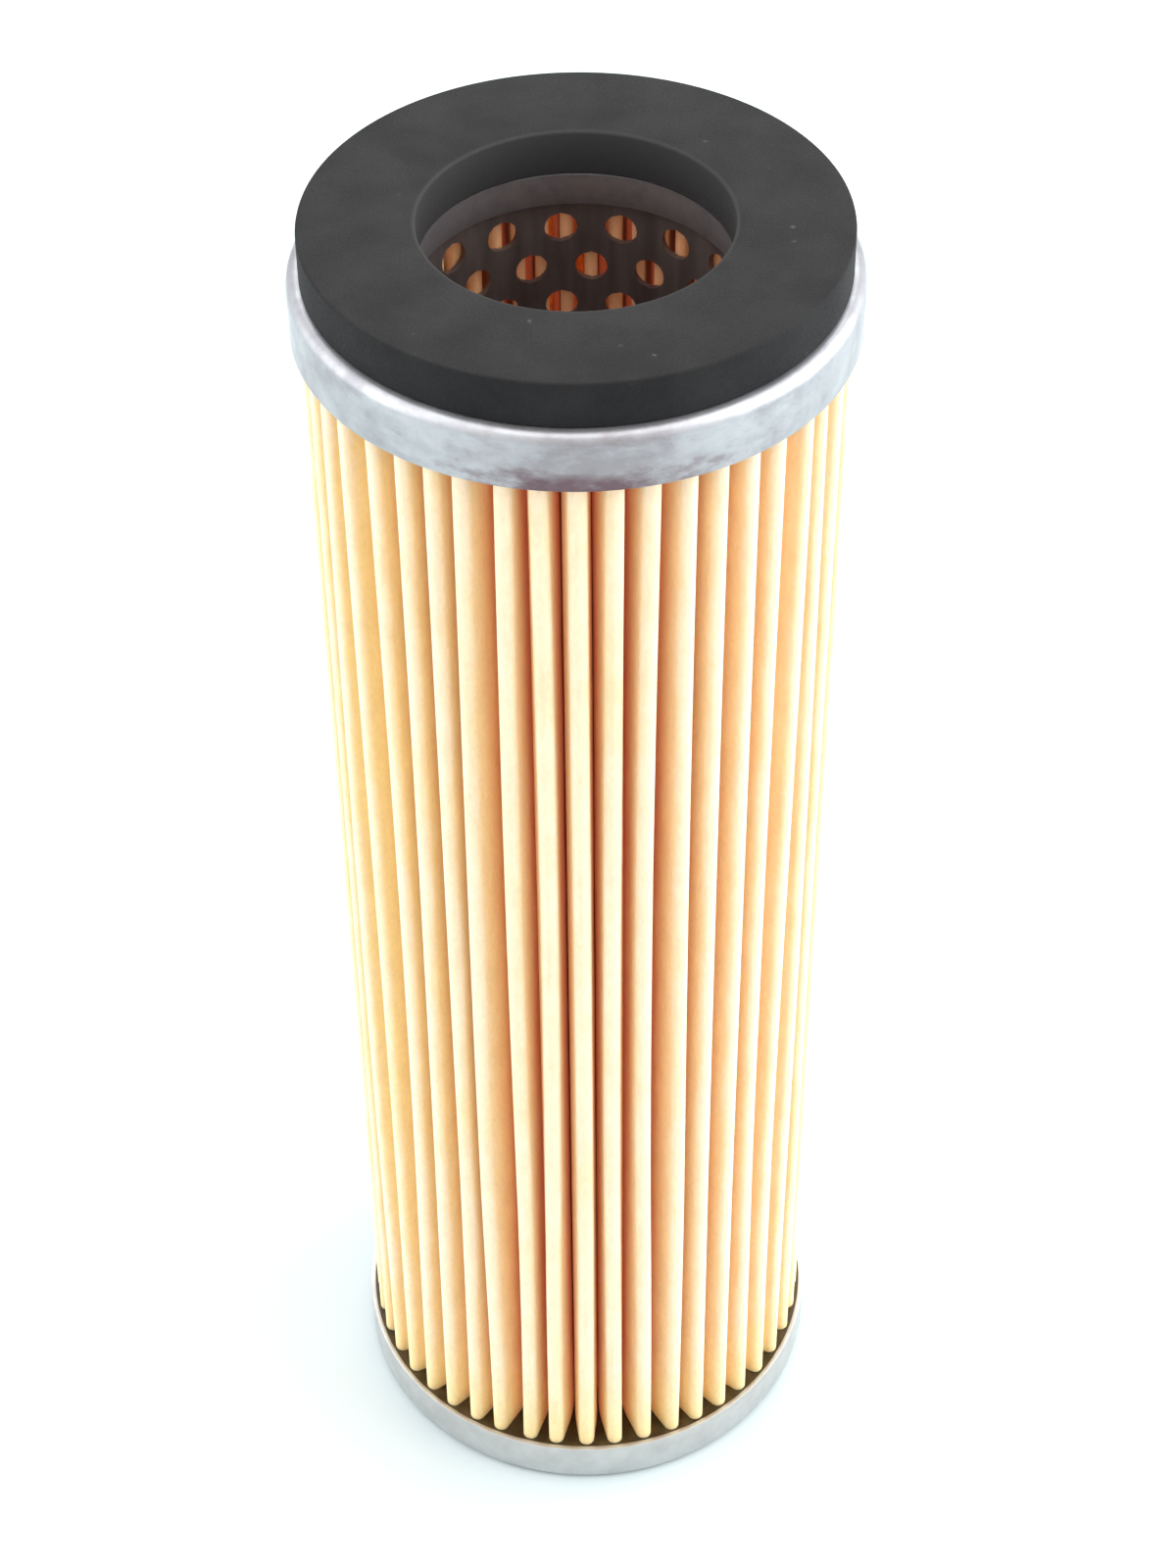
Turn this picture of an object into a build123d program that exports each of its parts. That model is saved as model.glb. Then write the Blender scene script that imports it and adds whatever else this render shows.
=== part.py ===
"""Pleated filter element: a folded paper star round a perforated tube, between two pressed caps.

Frame: millimetres, +Z up, origin at the centre of the bottom cap's underside.
"""
import os
from math import acos, atan2, cos, hypot, pi, sin

from build123d import *

# Whole element
body_height = 150.5  # underside of the bottom cap to the upper face of the top cap
cap_radius = 26.0
bore_radius = 14.2  # through the gasket, for the spigot of the filter head

# Pressed steel caps
sheet = 0.5
shoulder_bevel = 0.8
top_rim_height = 5.7
bottom_rim_height = 5.7
collar_depth = 3.6  # neck of the top cap, from its upper face down into the tube
pressed_centre_height = 1.2  # raised middle of the bottom cap, which centres the tube

# Rubber gasket
gasket_thickness = 4.6
gasket_margin = 1.2  # bare steel left outside the gasket
gasket_overhang = 0.7  # rubber that stands inside the collar

# Perforated centre tube
tube_wall = 0.6
collar_clearance = 0.1
hole_radius = 1.6
hole_sides = 6
holes_per_row = 17
row_pitch = 4.33
row_margin = 0.3  # sealing compound to the edge of the first holes
modelled_rows = 3  # the rows near the mouth; the pattern goes on down to the foot

# Sealing compound that fills the caps
top_compound_recess = 1.0  # rim edge to the surface of the compound
bottom_compound_recess = 0.1

# Folded paper
pleat_count = 46
paper_thickness = 0.5
outer_fold_radius = 0.7  # to the middle of the paper
inner_fold_radius = 0.5
tip_clearance = 0.3  # pleat tips to the rims of the caps
root_clearance = 0.3  # inner folds to the tube
bend_facets = 5  # flats round the open side of a fold
crease_facets = 2  # flats in its pinched side

# Sizes that follow
cap_top = body_height
rim_inner_radius = cap_radius - sheet
collar_inner_radius = bore_radius + gasket_overhang
collar_outer_radius = collar_inner_radius + sheet
tube_inner_radius = collar_outer_radius + collar_clearance
tube_outer_radius = tube_inner_radius + tube_wall
gasket_radius = cap_radius - gasket_margin
top_compound_face = cap_top - top_rim_height + top_compound_recess
bottom_compound_face = bottom_rim_height - bottom_compound_recess
tip_radius = rim_inner_radius - tip_clearance
root_radius = tube_outer_radius + root_clearance

os.makedirs("parts", exist_ok=True)


def ring(inner_radius, outer_radius, foot, height):
    """A plain ring about the Z axis, standing on the height `foot`."""
    with BuildPart() as body:
        with BuildSketch(Plane.XY.offset(foot)):
            Circle(outer_radius)
            Circle(inner_radius, mode=Mode.SUBTRACT)
        extrude(amount=height)
    return body


# ---- Bottom cap: a shallow pressed cup, its middle raised into the foot of the tube ----
pressed_radius = tube_inner_radius - collar_clearance
with BuildPart() as bottom_end_cap:
    with BuildSketch(Plane.XZ) as cup_section:
        with BuildLine():
            Polyline(
                (0, pressed_centre_height),
                (pressed_radius - sheet, pressed_centre_height),
                (pressed_radius - sheet, 0),
                (cap_radius, 0),
                (cap_radius, bottom_rim_height),
                (rim_inner_radius, bottom_rim_height),
                (rim_inner_radius, sheet),
                (pressed_radius, sheet),
                (pressed_radius, sheet + pressed_centre_height),
                (0, sheet + pressed_centre_height),
                close=True,
            )
        make_face()
        base_corner = cup_section.vertices().group_by(Axis.Y)[0].sort_by(Axis.X)[-1]
        chamfer(base_corner, shoulder_bevel)
    revolve(axis=Axis.Z)
bottom_end_cap.part.label = "bottom_end_cap"
export_step(bottom_end_cap.part, "parts/bottom_end_cap.step")

# ---- Top cap: a pressed ring, its inner edge drawn down into a collar inside the tube ----
with BuildPart() as top_end_cap:
    with BuildSketch(Plane.XZ) as ring_section:
        with BuildLine():
            Polyline(
                (collar_inner_radius, cap_top - collar_depth),
                (collar_inner_radius, cap_top),
                (cap_radius, cap_top),
                (cap_radius, cap_top - top_rim_height),
                (rim_inner_radius, cap_top - top_rim_height),
                (rim_inner_radius, cap_top - sheet),
                (collar_outer_radius, cap_top - sheet),
                (collar_outer_radius, cap_top - collar_depth),
                close=True,
            )
        make_face()
        top_corner = ring_section.vertices().group_by(Axis.Y)[-1].sort_by(Axis.X)[-1]
        chamfer(top_corner, shoulder_bevel)
    revolve(axis=Axis.Z)
top_end_cap.part.label = "top_end_cap"
export_step(top_end_cap.part, "parts/top_end_cap.step")

# ---- Gasket: a flat ring cut from rubber, glued on the top cap ----
gasket = ring(bore_radius, gasket_radius, cap_top, gasket_thickness)
gasket.part.label = "gasket"
export_step(gasket.part, "parts/gasket.step")

# ---- Sealing compound: a ring in each cap, from the tube to the rim ----
bottom_compound = ring(tube_outer_radius, rim_inner_radius, sheet, bottom_compound_face - sheet)
bottom_compound.part.label = "bottom_compound"
export_step(bottom_compound.part, "parts/bottom_compound.step")

top_compound = ring(
    tube_outer_radius, rim_inner_radius, top_compound_face, cap_top - sheet - top_compound_face
)
top_compound.part.label = "top_compound"
export_step(top_compound.part, "parts/top_compound.step")

# ---- Centre tube: it stands between the two caps and is pierced in staggered rows ----
hole_step = 360 / holes_per_row
first_row_height = top_compound_face - row_margin - hole_radius

with BuildPart() as piercing_pin:
    with BuildSketch(Plane.YZ.offset(tube_inner_radius / 2)):
        RegularPolygon(hole_radius, hole_sides, rotation=90)
    extrude(amount=tube_outer_radius)

with BuildPart() as centre_tube:
    add(ring(tube_inner_radius, tube_outer_radius, sheet, cap_top - 2 * sheet).part)
    for row in range(modelled_rows):
        stagger = hole_step / 2 * (row % 2)
        with Locations((0, 0, first_row_height - row * row_pitch)):
            with PolarLocations(0, holes_per_row, start_angle=stagger):
                add(piercing_pin.part, mode=Mode.SUBTRACT)
centre_tube.part.label = "centre_tube"
export_step(centre_tube.part, "parts/centre_tube.step")

# ---- Pleated paper: one sheet folded to and fro and closed into a ring ----
half_paper = paper_thickness / 2
half_pitch = pi / pleat_count
outer_centre = tip_radius - half_paper - outer_fold_radius
inner_centre = root_radius + half_paper + inner_fold_radius

# A flank runs straight from one fold to the next, on the inner tangent of the two circles
run_x = inner_centre * cos(half_pitch) - outer_centre
run_y = inner_centre * sin(half_pitch)
outer_half_turn = atan2(run_y, run_x) - acos((outer_fold_radius + inner_fold_radius) / hypot(run_x, run_y))
inner_half_turn = outer_half_turn - half_pitch


def fold(centre_radius, centre_angle, fold_radius, first_turn, last_turn, facets):
    """Points round one fold; the turns are measured from the radius through its centre."""
    turns = [first_turn + (last_turn - first_turn) * step / facets for step in range(facets + 1)]
    return [
        (
            centre_radius * cos(centre_angle) + fold_radius * cos(centre_angle + turn),
            centre_radius * sin(centre_angle) + fold_radius * sin(centre_angle + turn),
        )
        for turn in turns
    ]


def paper_face(side):
    """The closed outline of one face of the paper: side 1 faces out, side -1 faces the tube."""
    outer_radius = outer_fold_radius + side * half_paper
    inner_radius = inner_fold_radius - side * half_paper
    outer_facets = bend_facets if side == 1 else crease_facets
    inner_facets = crease_facets if side == 1 else bend_facets
    points = []
    for pleat in range(pleat_count):
        tip_angle = 2 * half_pitch * pleat
        points += fold(
            outer_centre, tip_angle, outer_radius, -outer_half_turn, outer_half_turn, outer_facets
        )
        points += fold(
            inner_centre,
            tip_angle + half_pitch,
            inner_radius,
            inner_half_turn + pi,
            pi - inner_half_turn,
            inner_facets,
        )
    return points


with BuildPart() as pleated_media:
    with BuildSketch(Plane.XY.offset(bottom_compound_face)):
        with BuildLine():
            Polyline(*paper_face(1), close=True)
        make_face()
        with BuildLine():
            Polyline(*paper_face(-1), close=True)
        make_face(mode=Mode.SUBTRACT)
    extrude(amount=top_compound_face - bottom_compound_face)
pleated_media.part.label = "pleated_media"
export_step(pleated_media.part, "parts/pleated_media.step")
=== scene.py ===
"""Dressed model of a pleated filter element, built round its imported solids.

Metres, +Z up, origin at the centre of the bottom cap's underside. Each sub-assembly is a class
that reads its place from its solid, builds its mesh with Blender's operators and dresses it.
"""
import logging
import math
import random
from dataclasses import dataclass
from enum import Enum
from functools import cached_property
from typing import Callable

import bmesh
import bpy
from mathutils import Matrix, Vector


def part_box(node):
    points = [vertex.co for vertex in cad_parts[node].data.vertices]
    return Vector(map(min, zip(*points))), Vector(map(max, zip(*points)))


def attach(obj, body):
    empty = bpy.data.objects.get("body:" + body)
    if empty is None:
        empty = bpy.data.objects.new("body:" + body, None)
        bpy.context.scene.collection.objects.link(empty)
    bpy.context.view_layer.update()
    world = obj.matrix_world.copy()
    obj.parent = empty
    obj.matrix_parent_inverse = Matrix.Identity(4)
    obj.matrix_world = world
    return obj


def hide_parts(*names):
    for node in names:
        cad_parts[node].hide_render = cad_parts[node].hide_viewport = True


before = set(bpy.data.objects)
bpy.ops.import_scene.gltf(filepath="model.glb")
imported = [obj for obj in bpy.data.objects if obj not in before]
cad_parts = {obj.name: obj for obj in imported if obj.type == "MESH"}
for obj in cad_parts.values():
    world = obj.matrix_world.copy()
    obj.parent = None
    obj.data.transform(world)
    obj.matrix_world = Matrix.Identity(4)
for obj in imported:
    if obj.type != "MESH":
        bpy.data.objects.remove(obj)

MM = 0.001

Triple = tuple[float, float, float]
Range = tuple[float, float]
Stops = tuple[tuple[float, Triple], ...]
Socket = bpy.types.NodeSocket
Piece = bpy.types.Object
Vertex = bmesh.types.BMVert

AXIS = Vector((0.0, 0.0, 1.0))
ORIGIN = (0.0, 0.0, 0.0)
ROUND_FACETS = 240  # faces round every turned piece
SLACK = 0.02 * MM  # two places closer than this are one
INSET_SLACK = 0.1 * MM  # how far an inset may leave a corner off its radius
LEVEL = 0.9  # a face is level if its normal rises or falls by more than this

NOISE_SPAN = (0.3, 0.7)  # where nearly all values of a noise lie
NOISE_CORE = (0.35, 0.65)  # a closer cut, for patches with clear edges
EITHER_WAY = (-0.5, 0.5)  # a wander to both sides
FADING = (1.0, 0.0)  # from all to nothing

log = logging.getLogger("filter_element")


# ---------------- working at the bench


class Part(Enum):
    """What a selection is made of."""

    VERT = 0
    EDGE = 1
    FACE = 2


@dataclass(frozen=True)
class Span:
    """How far a CAD solid reaches: its radius, its foot and its top."""

    outer: float
    foot: float
    top: float

    @property
    def height(self) -> float:
        """Height from foot to top."""
        return self.top - self.foot

    @property
    def middle(self) -> float:
        """Height of the middle above the origin."""
        return (self.top + self.foot) / 2


def settle_selection(obj: Piece) -> None:
    """Leaves one object as the only selected one and the active one.

    Args:
        obj: the object.
    """
    bpy.ops.object.select_all(action="DESELECT")
    obj.select_set(True)
    bpy.context.view_layer.objects.active = obj


def begin_piece(name: str) -> Piece:
    """Names the primitive just added and opens it for editing with nothing selected.

    Args:
        name: the piece's plain name.

    Returns:
        The piece, in edit mode.
    """
    piece = bpy.context.active_object
    piece.name = name
    piece.data.name = name
    settle_selection(piece)
    bpy.ops.object.transform_apply(location=True, rotation=True, scale=True)
    bpy.ops.object.mode_set(mode="EDIT")
    bpy.ops.mesh.select_all(action="DESELECT")
    return piece


def begin_cylinder(name: str, span: Span) -> Piece:
    """Adds a closed cylinder about the axis, with a span's sizes, and opens it for editing.

    Args:
        name: the piece's plain name.
        span: the cylinder's radius, foot and top.

    Returns:
        The piece, in edit mode.
    """
    bpy.ops.mesh.primitive_cylinder_add(
        vertices=ROUND_FACETS,
        radius=span.outer,
        depth=span.height,
        end_fill_type="NGON",
        location=(0.0, 0.0, span.middle),
    )
    return begin_piece(name)


def pick(piece: Piece, part: Part, test: Callable[..., bool]) -> None:
    """Selects the vertices, edges or faces that pass a test, and only those.

    Args:
        piece: a mesh in edit mode.
        part: what is selected.
        test: takes a vertex's place, an edge's two ends or a face's middle and normal.
    """
    bpy.ops.mesh.select_mode(type=part.name)
    bpy.ops.mesh.select_all(action="DESELECT")
    mesh = bmesh.from_edit_mesh(piece.data)
    if part is Part.VERT:
        for vertex in mesh.verts:
            vertex.select = test(vertex.co)
    elif part is Part.EDGE:
        for edge in mesh.edges:
            edge.select = test(*(vertex.co for vertex in edge.verts))
    else:
        for face in mesh.faces:
            face.select = test(face.calc_center_median(), face.normal)
    if part is not Part.EDGE:
        mesh.select_flush_mode()
    bmesh.update_edit_mesh(piece.data)


def reach(place: Vector) -> float:
    """Distance of a place from the element's axis."""
    return math.hypot(place.x, place.y)


def near(value: float, wanted: float, slack: float = SLACK) -> bool:
    """Whether two lengths agree to within a slack."""
    return abs(value - wanted) <= slack


def is_level(normal: Vector) -> bool:
    """Whether a face with this normal lies level."""
    return abs(normal.z) > LEVEL


def on_circle(start: Vector, end: Vector, radius: float, slack: float = SLACK) -> bool:
    """Whether an edge, given by its two ends, lies level on a circle about the axis."""
    level = near(start.z, end.z)
    return level and near(reach(start), radius, slack) and near(reach(end), radius, slack)


def turn_selection(turn: float) -> None:
    """Turns what is selected about the axis, anticlockwise from above, by an angle in radians."""
    bpy.ops.transform.rotate(value=-turn, orient_axis="Z", center_override=ORIGIN)


def add_modifier(piece: Piece, kind: str, **settings: object) -> None:
    """Adds one modifier to a piece, sets it and applies it.

    Args:
        piece: a mesh in object mode.
        kind: the modifier's type.
        **settings: its properties.
    """
    settle_selection(piece)
    modifier = piece.modifiers.new(kind.title(), kind)
    for key, value in settings.items():
        setattr(modifier, key, value)
    bpy.ops.object.modifier_apply(modifier=modifier.name)


def close_surface() -> None:
    """Turns the normals of the mesh in hand outward and leaves edit mode."""
    bpy.ops.mesh.select_all(action="SELECT")
    bpy.ops.mesh.normals_make_consistent(inside=False)
    bpy.ops.object.mode_set(mode="OBJECT")


def finish_piece(piece: Piece, material: bpy.types.Material, smooth_deg: float) -> None:
    """Closes editing, smooths a piece's round faces and gives it its material.

    Args:
        piece: the finished mesh.
        material: its finish.
        smooth_deg: edges sharper than this stay sharp.
    """
    if bpy.context.mode != "OBJECT":
        bpy.ops.object.mode_set(mode="OBJECT")
    settle_selection(piece)
    bpy.ops.object.shade_smooth_by_angle(angle=math.radians(smooth_deg))
    piece.data.materials.clear()
    piece.data.materials.append(material)


class ElementPiece:
    """A piece of the element, built in place of one CAD solid."""

    node: str

    @cached_property
    def span(self) -> Span:
        """How far the solid reaches, read from its box."""
        low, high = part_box(self.node)
        return Span(outer=high.x, foot=low.z, top=high.z)

    def seat(self, piece: Piece, slot: str) -> None:
        """Puts a finished mesh in place of the solid and reports it.

        Args:
            piece: the finished mesh.
            slot: a name for its finish; not used.
        """
        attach(piece, "root")
        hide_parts(self.node)
        log.info("%s stands for %s, %d faces", piece.name, self.node, len(piece.data.polygons))


# ---------------- finishes


class NodeBench:
    """Lays out the nodes of one material round its main shader."""

    def __init__(self, name: str) -> None:
        """Makes an empty material with one main shader joined to its output.

        Args:
            name: the material's name.
        """
        self.material = bpy.data.materials.new(name)
        self.material.use_nodes = True
        self.tree = self.material.node_tree
        self.tree.nodes.clear()
        output = self.tree.nodes.new("ShaderNodeOutputMaterial")
        self.shader = self.tree.nodes.new("ShaderNodeBsdfPrincipled")
        self.join(self.shader.outputs["BSDF"], output.inputs["Surface"])

    def node(
        self, kind: str, values: dict[str | int, object] | None = None, **settings: object
    ) -> bpy.types.Node:
        """Adds one node.

        Args:
            kind: the node's type, without its ShaderNode start.
            values: constants for its inputs, by the input's name or number.
            **settings: its properties.

        Returns:
            The new node.
        """
        made = self.tree.nodes.new("ShaderNode" + kind)
        for key, value in settings.items():
            setattr(made, key, value)
        for key, value in (values or {}).items():
            made.inputs[key].default_value = value
        return made

    def join(self, source: Socket, target: Socket) -> None:
        """Links an output to an input."""
        self.tree.links.new(source, target)

    def feed(self, name: str, source: Socket) -> None:
        """Links an output to the main shader's input of a given name."""
        self.join(source, self.shader.inputs[name])

    def fix(self, constants: dict[str, object]) -> None:
        """Sets constants on the main shader's own inputs."""
        for name, value in constants.items():
            self.shader.inputs[name].default_value = value

    def place(self, scale: Triple = (1.0, 1.0, 1.0)) -> Socket:
        """The piece's own coordinates, pressed together along each axis by a scale.

        Args:
            scale: the scale along each axis.

        Returns:
            The coordinates' output.
        """
        mapping = self.node("Mapping", {"Scale": scale})
        self.join(self.node("TexCoord").outputs["Object"], mapping.inputs["Vector"])
        return mapping.outputs["Vector"]

    def distance_from(self, centre: Triple, size: Triple) -> Socket:
        """Distance from a place, measured in lengths that differ by axis.

        Args:
            centre: the place.
            size: length of one unit along each axis.

        Returns:
            The distance's output.
        """
        shifted = self.node("VectorMath", {1: centre}, operation="SUBTRACT")
        self.join(self.node("TexCoord").outputs["Object"], shifted.inputs[0])
        measured = self.node("VectorMath", {1: size}, operation="DIVIDE")
        self.join(shifted.outputs["Vector"], measured.inputs[0])
        length = self.node("VectorMath", operation="LENGTH")
        self.join(measured.outputs["Vector"], length.inputs[0])
        return length.outputs["Value"]

    def radius(self) -> Socket:
        """Distance from the element's axis, in metres.

        Returns:
            The distance's output.
        """
        length = self.node("VectorMath", operation="LENGTH")
        self.join(self.place((1.0, 1.0, 0.0)), length.inputs[0])
        return length.outputs["Value"]

    def height(self) -> Socket:
        """Height above the surface the element stands on, in metres.

        Returns:
            The height's output.
        """
        parts = self.node("SeparateXYZ")
        self.join(self.place(), parts.inputs[0])
        return parts.outputs["Z"]

    def noise(
        self, size: float, detail: float, roughness: float, stretch: Triple = (1.0, 1.0, 1.0)
    ) -> Socket:
        """A noise pattern with features of a given size.

        Args:
            size: length of one feature, in metres.
            detail: octaves of finer noise.
            roughness: strength of the finer octaves.
            stretch: scale of the coordinates along each axis.

        Returns:
            The noise's factor output.
        """
        values = {"Scale": 1.0 / size, "Detail": detail, "Roughness": roughness}
        pattern = self.node("TexNoise", values)
        self.join(self.place(stretch), pattern.inputs["Vector"])
        return pattern.outputs["Fac"]

    def spread(self, source: Socket, span: Range, to: Range = (0.0, 1.0)) -> Socket:
        """Maps a value from one range to another and clamps it.

        Args:
            source: the value.
            span: the two ends of its own range.
            to: results at those two ends.

        Returns:
            The mapped value's output.
        """
        names = ("From Min", "From Max", "To Min", "To Max")
        mapped = self.node("MapRange", dict(zip(names, (*span, *to))))
        self.join(source, mapped.inputs["Value"])
        return mapped.outputs["Result"]

    def add_share(self, first: Socket, second: Socket, share: float) -> Socket:
        """The first value plus a share of the second.

        Args:
            first: a value.
            second: another value.
            share: how much of the second is added.

        Returns:
            The total's output.
        """
        total = self.node("Math", {1: share}, operation="MULTIPLY_ADD")
        self.join(second, total.inputs[0])
        self.join(first, total.inputs[2])
        return total.outputs["Value"]

    def multiply(self, first: Socket, second: Socket) -> Socket:
        """The product of two values.

        Args:
            first: a value.
            second: another value.

        Returns:
            The product's output.
        """
        product = self.node("Math", operation="MULTIPLY")
        self.join(first, product.inputs[0])
        self.join(second, product.inputs[1])
        return product.outputs["Value"]

    def ramp(self, source: Socket, stops: Stops) -> Socket:
        """Colours a value by a ramp.

        Args:
            source: the value, from 0 to 1.
            stops: (place, colour) of each stop, in order.

        Returns:
            The colour output.
        """
        made = self.node("ValToRGB")
        elements = made.color_ramp.elements
        while len(elements) < len(stops):
            elements.new(1.0)
        for element, (position, colour) in zip(elements, stops):
            element.position = position
            element.color = (*colour, 1.0)
        self.join(source, made.inputs["Fac"])
        return made.outputs["Color"]

    def blend(
        self,
        amount: Socket | float,
        first: Socket | Triple,
        second: Socket | Triple,
        mode: str = "MIX",
    ) -> Socket:
        """Blends two colours.

        Args:
            amount: share of the second colour, a number or an output.
            first: a colour or an output.
            second: a colour or an output.
            mode: how they blend.

        Returns:
            The colour output.
        """
        mix = self.node("Mix", data_type="RGBA", blend_type=mode)
        sockets = (mix.inputs["Factor"], mix.inputs[6], mix.inputs[7])
        for socket, value in zip(sockets, (amount, first, second)):
            if isinstance(value, Socket):
                self.join(value, socket)
            else:
                socket.default_value = (*value, 1.0) if isinstance(value, tuple) else value
        return mix.outputs[2]

    def two_tone(self, pattern: Socket, span: Range, first: Triple, second: Triple) -> None:
        """Colours the surface between two colours, by a pattern's values across a span."""
        self.feed("Base Color", self.blend(self.spread(pattern, span), first, second))

    def bump(self, height: Socket, depth: float) -> None:
        """Raises the surface by a pattern.

        Args:
            height: the pattern.
            depth: how far a value of 1 rises, in metres.
        """
        raised = self.node("Bump", {"Strength": 1.0, "Distance": depth})
        self.join(height, raised.inputs["Height"])
        self.feed("Normal", raised.outputs["Normal"])


@dataclass(frozen=True)
class PaperFinish:
    """Resin-treated filter paper with a fibrous face: a painted highlight on its pale tips, painted
    amber shade deeper in the pleats.

    Depth runs from 0 at the inner folds to 1 at the outer ones. The seep stands for the light
    that comes through the folded paper into the valleys.
    """

    root_radius: float
    tip_radius: float
    depth_shading_colours: Stops = (
        (0.0, (0.86, 0.45, 0.25)),  # inner folds, painted with warm light
        (0.08, (0.86, 0.45, 0.25)),
        (0.16, (0.42, 0.155, 0.085)),  # painted shade in the pinched gap just outside them
        (0.30, (0.42, 0.155, 0.085)),
        (0.42, (0.80, 0.30, 0.155)),  # painted amber shade on the walls of the valley
        (0.66, (0.86, 0.57, 0.30)),  # flanks
        (0.90, (0.905, 0.68, 0.40)),  # shoulders of the outer folds
        (0.985, (0.94, 0.765, 0.575)),  # their tips, with a painted highlight
    )
    depth_seep: Stops = (
        (0.0, (0.105, 0.048, 0.022)),
        (0.09, (0.105, 0.048, 0.022)),
        (0.17, (0.004, 0.002, 0.001)),
        (0.30, (0.004, 0.002, 0.001)),
        (0.42, (0.072, 0.020, 0.010)),
        (0.68, (0.072, 0.020, 0.010)),
        (0.95, (0.0, 0.0, 0.0)),
    )
    wander_size: float = 4.0 * MM
    wander_share: float = 0.10
    # a yellower patch on the outer folds of the left side
    left_tint_colour: Triple = (0.88, 0.70, 0.33)
    left_tint_place: Triple = (-27.0 * MM, -4.0 * MM, 95.0 * MM)
    left_tint_size: Triple = (26.0 * MM, 30.0 * MM, 130.0 * MM)
    left_tint_fade: Range = (0.3, 1.15)
    left_tint_depths: Range = (0.88, 1.0)
    foot_colour: Triple = (0.90, 0.69, 0.31)
    foot_share: float = 0.8
    foot: float = 5.6 * MM
    wicking: float = 13.0 * MM
    fibre_size: float = 0.35 * MM
    fibre_depth: float = 0.05 * MM
    mottle_size: float = 1.6 * MM
    mottle_share: float = 0.8
    mottle_span: Range = (0.55, 1.25)
    mottle_tones: Stops = ((0.0, (0.86, 0.82, 0.76)), (1.0, (1.0, 1.0, 1.0)))
    roughness: Range = (0.78, 0.94)
    specular: float = 0.25
    light_reach: float = 0.9 * MM
    light_shares: Triple = (0.50, 0.46, 0.30)

    def uneven_depth(self, bench: NodeBench) -> Socket:
        """Depth in the pleats, wandering a little along each fold.

        Args:
            bench: the material's bench.

        Returns:
            The depth's output.
        """
        depth = bench.spread(bench.radius(), (self.root_radius, self.tip_radius))
        wander = bench.noise(self.wander_size, detail=3.0, roughness=0.6, stretch=(1.0, 1.0, 0.25))
        return bench.add_share(
            depth, bench.spread(wander, NOISE_SPAN, EITHER_WAY), self.wander_share
        )

    def shaded_colour(self, bench: NodeBench, depth: Socket) -> Socket:
        """The colour by depth, with painted shade in the pleats and a painted highlight on the
        tips, yellower on one side and where compound wicked up the foot.

        Args:
            bench: the material's bench.
            depth: depth in the pleats.

        Returns:
            The colour output.
        """
        # painted shade and painted highlight: the colour follows depth in the pleats
        colour = bench.ramp(depth, self.depth_shading_colours)
        nearness = bench.distance_from(self.left_tint_place, self.left_tint_size)
        left_tint = bench.multiply(
            bench.spread(nearness, self.left_tint_fade, FADING),
            bench.spread(depth, self.left_tint_depths, FADING),
        )
        colour = bench.blend(left_tint, colour, self.left_tint_colour)
        wicked = bench.spread(
            bench.height(), (self.foot, self.foot + self.wicking), (self.foot_share, 0.0)
        )
        return bench.blend(wicked, colour, self.foot_colour)

    def make(self) -> bpy.types.Material:
        """Builds the paper's material.

        Returns:
            The material.
        """
        bench = NodeBench("filter_paper")
        depth = self.uneven_depth(bench)
        fibres = bench.noise(self.fibre_size, detail=6.0, roughness=0.65, stretch=(1.0, 1.0, 0.45))
        mottle = bench.noise(self.mottle_size, detail=3.0, roughness=0.5, stretch=(1.0, 1.0, 0.4))
        tone = bench.add_share(fibres, mottle, self.mottle_share)
        shade = bench.ramp(bench.spread(tone, self.mottle_span), self.mottle_tones)
        colour = bench.blend(1.0, self.shaded_colour(bench, depth), shade, "MULTIPLY")
        bench.feed("Base Color", colour)
        bench.feed("Roughness", bench.spread(fibres, NOISE_SPAN, self.roughness))
        bench.feed("Emission Color", bench.ramp(depth, self.depth_seep))
        bench.fix(
            {
                "Emission Strength": 1.0,
                "Specular IOR Level": self.specular,
                "Subsurface Weight": 1.0,
                "Subsurface Radius": self.light_shares,
                "Subsurface Scale": self.light_reach,
            }
        )
        bench.bump(tone, self.fibre_depth)
        return bench.material


@dataclass(frozen=True)
class PaintedLightPatch:
    """A ragged patch of painted highlight or painted dark reflection on a finish, with its reach
    along each axis.

    It holds its strength out to the core and is gone at the fade, both in shares of that reach.
    """

    colour: Triple
    place: Triple
    size: Triple
    core: float
    fade: float
    strength: float
    grain: float = 3.0 * MM
    grain_span: Range = (0.25, 0.75)

    def lay(self, bench: NodeBench, under: Socket) -> Socket:
        """Lays the patch over a colour.

        Args:
            bench: the material's bench.
            under: the colour below.

        Returns:
            The colour with the patch on it.
        """
        streaks = bench.noise(self.grain, detail=4.0, roughness=0.6, stretch=(1.0, 1.0, 2.0))
        ragged = bench.add_share(
            bench.distance_from(self.place, self.size),
            bench.spread(streaks, self.grain_span, EITHER_WAY),
            1.0,
        )
        cover = bench.spread(ragged, (self.core, self.fade), (self.strength, 0.0))
        return bench.blend(cover, under, self.colour)


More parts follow.
